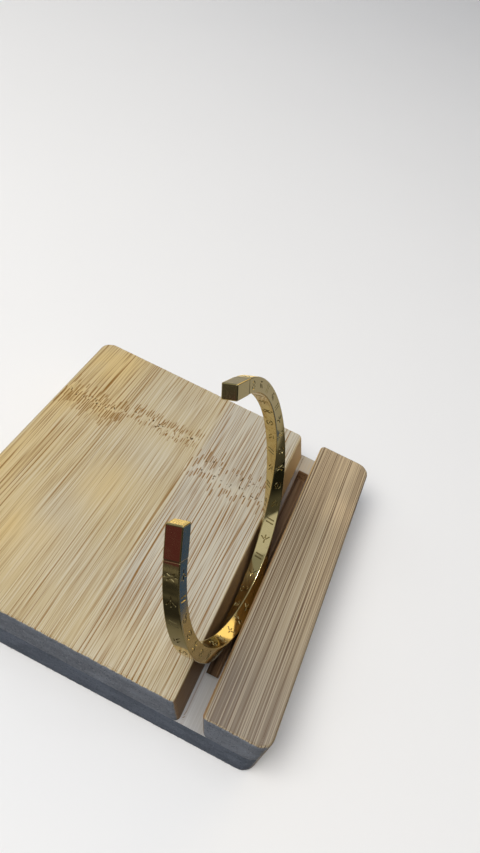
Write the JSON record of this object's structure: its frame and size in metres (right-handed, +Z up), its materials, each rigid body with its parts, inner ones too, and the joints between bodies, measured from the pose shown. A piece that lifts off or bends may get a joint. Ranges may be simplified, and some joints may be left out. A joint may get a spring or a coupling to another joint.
{
  "type": "cuff bangle on a grooved wooden stand",
  "caption": "Open cuff bangle of twisted square gold bar, held on edge in the slanted groove of a plain bamboo display stand.",
  "frame": {"origin": "middle of the stand's underside", "axes": "+Z up, +Y along the groove away from the viewer, +X across the groove towards the narrow bar"},
  "size_m": [0.0988, 0.1, 0.0726],
  "materials": {
    "cuff_gold": "mirror polished, gold plated, with small engraved motifs",
    "base_bamboo": "sanded, clear matt oil",
    "deck_bamboo": "sanded, clear matt oil",
    "bar_bamboo": "sanded, clear matt oil"
  },
  "bodies": {
    "root": {"cuff": "cuff_gold", "stand_base": "base_bamboo", "stand_deck": "deck_bamboo", "stand_bar": "bar_bamboo"}
  },
  "joints": []
}
